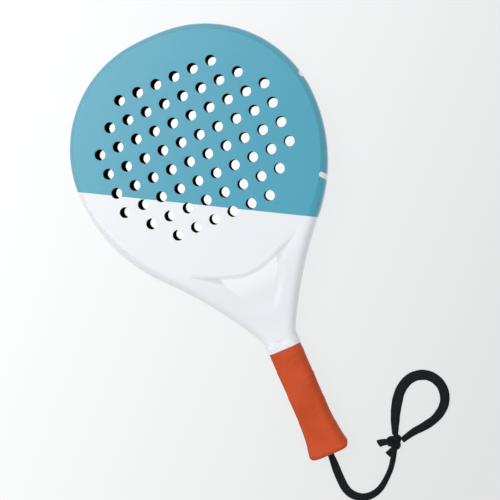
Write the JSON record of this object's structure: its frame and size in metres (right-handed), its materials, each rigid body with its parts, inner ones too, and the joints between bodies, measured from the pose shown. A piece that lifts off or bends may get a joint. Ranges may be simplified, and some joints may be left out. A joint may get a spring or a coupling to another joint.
{
  "type": "padel racket",
  "caption": "Teardrop padel racket with a perforated foam-cored head, hollow frame tube, closed throat, flared grip and a knotted wrist strap.",
  "frame": {"origin": "middle of the racket's length and width, on the plane its rear face rests on", "axes": "+X across the face, +Y from the butt to the top of the head, +Z out of the front face"},
  "size_m": [0.2586, 0.5124, 0.038],
  "materials": {
    "core_foam": "black closed-cell foam",
    "blue_paint": "satin clear coat over paint",
    "white_paint": "satin clear coat over paint",
    "bare_laminate": "bare composite",
    "orange_grip": "soft polyurethane",
    "collar_tape": "thin elastic band",
    "cap_plastic": "moulded",
    "staple_wire": "zinc plated wire",
    "strap_fabric": "woven tubular cord"
  },
  "bodies": {
    "root": {"foam_core": "core_foam", "front_face": "blue_paint", "rear_face": "blue_paint", "frame_tube": "white_paint", "throat_bridge": "bare_laminate", "throat_web_front": "white_paint", "throat_web_rear": "white_paint", "throat_foam": "core_foam", "handle_foam": "core_foam", "base_grip": "orange_grip", "grip_collar": "collar_tape", "butt_cap": "cap_plastic", "cap_staples": "staple_wire", "strap_stop_knot": "strap_fabric", "strap_lead": "strap_fabric", "strap_knot": "strap_fabric", "strap_loop": "strap_fabric", "strap_tails": "strap_fabric"}
  },
  "joints": []
}
